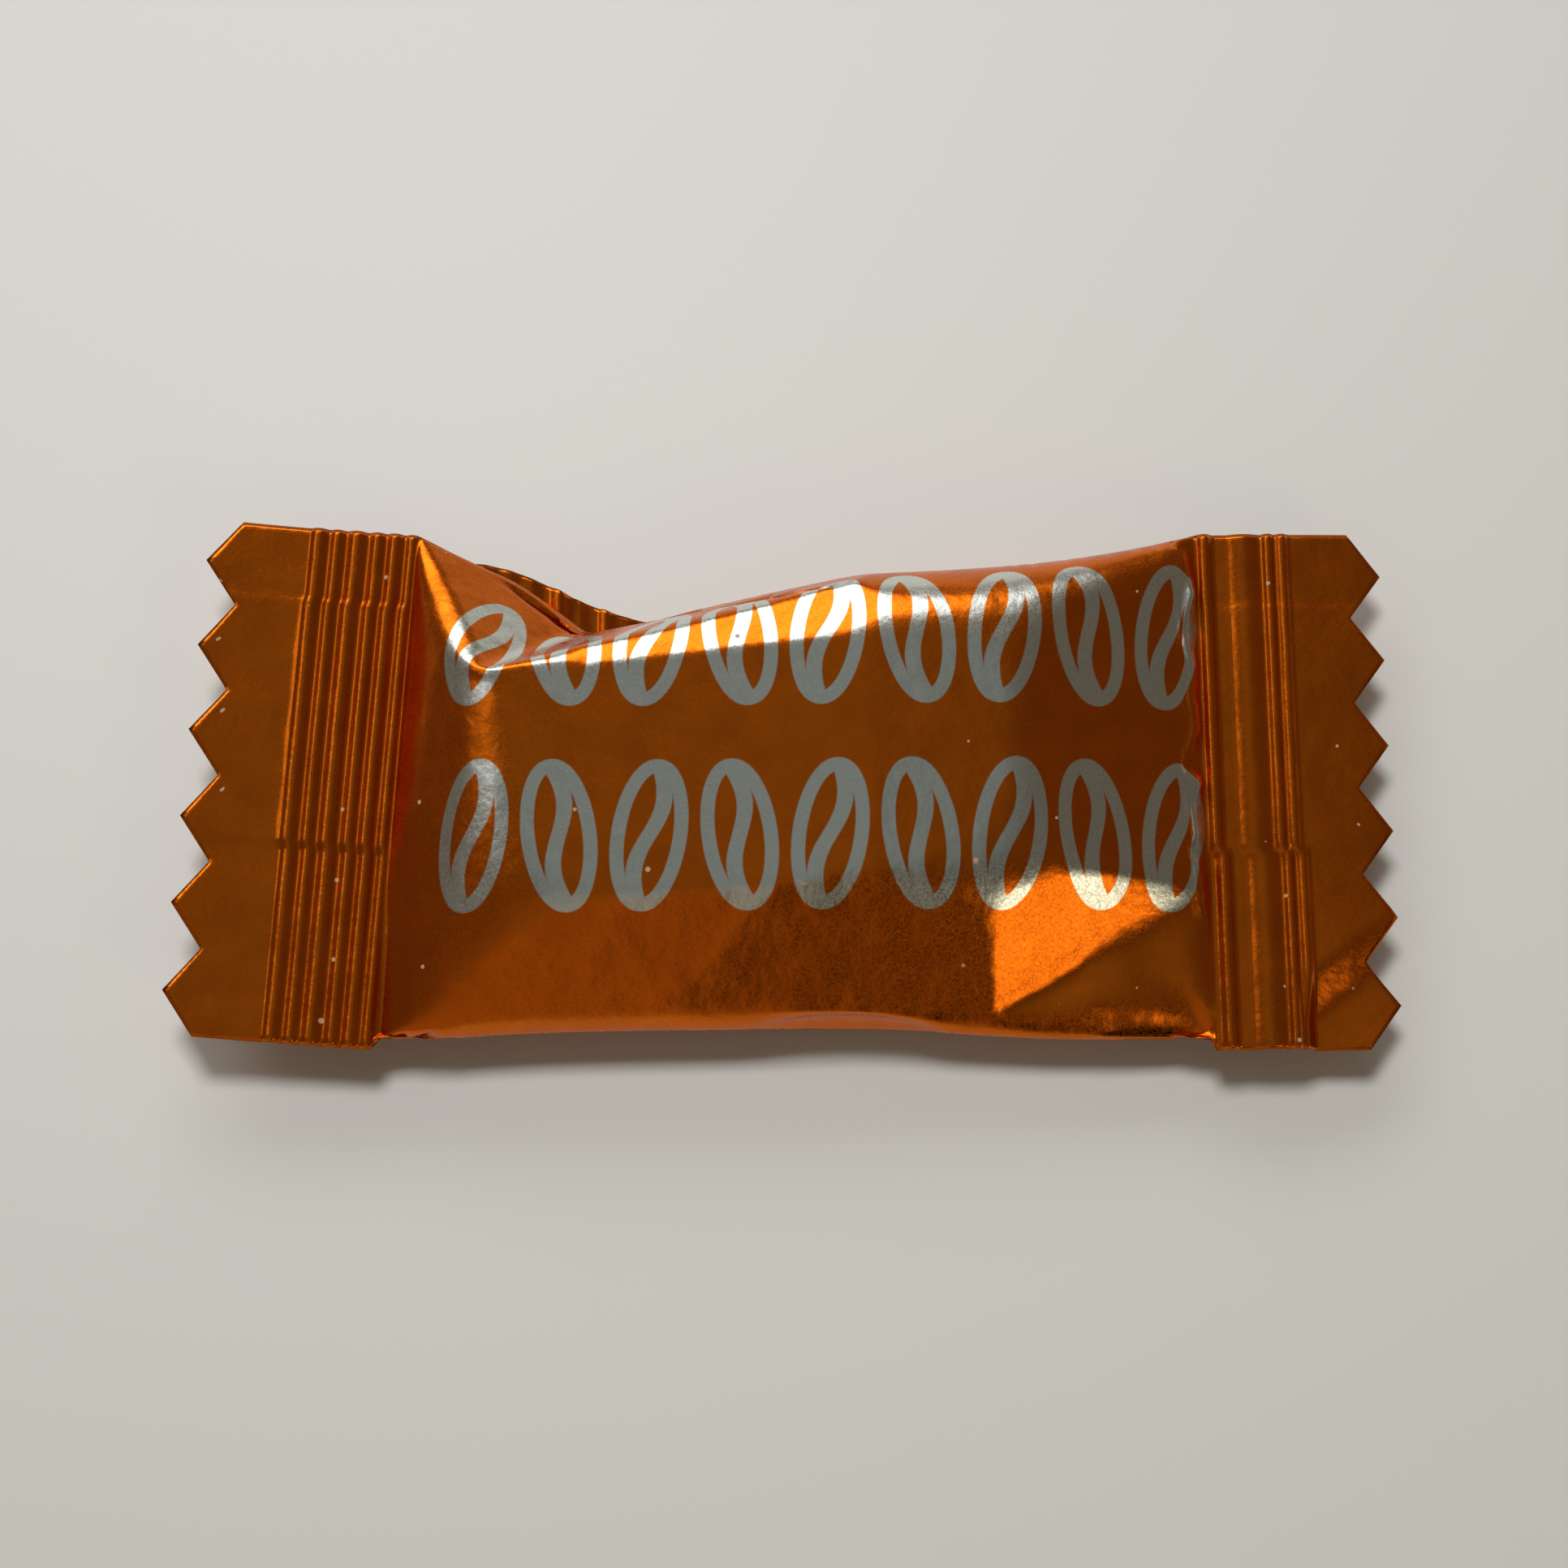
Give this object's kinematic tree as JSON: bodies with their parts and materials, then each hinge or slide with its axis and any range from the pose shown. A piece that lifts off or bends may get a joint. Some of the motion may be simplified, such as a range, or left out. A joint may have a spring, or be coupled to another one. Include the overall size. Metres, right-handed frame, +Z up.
{
  "type": "wrapped coffee candy",
  "caption": "Hard coffee candy sealed in a pillow of satin copper foil, with zig-zag crimped ends and a folded seam on its back.",
  "frame": {"origin": "middle of the footprint, on the table that the pack lies on", "axes": "+X along the pack in the direction that its print reads, +Y towards the top of the print, +Z up out of the printed side"},
  "size_m": [0.0558, 0.0246, 0.0075],
  "materials": {
    "foil_wrapper": "satin copper-orange metallised film, with its print left as bare silver film"
  },
  "bodies": {
    "root": {"wrapped_candy": "foil_wrapper"}
  },
  "joints": []
}
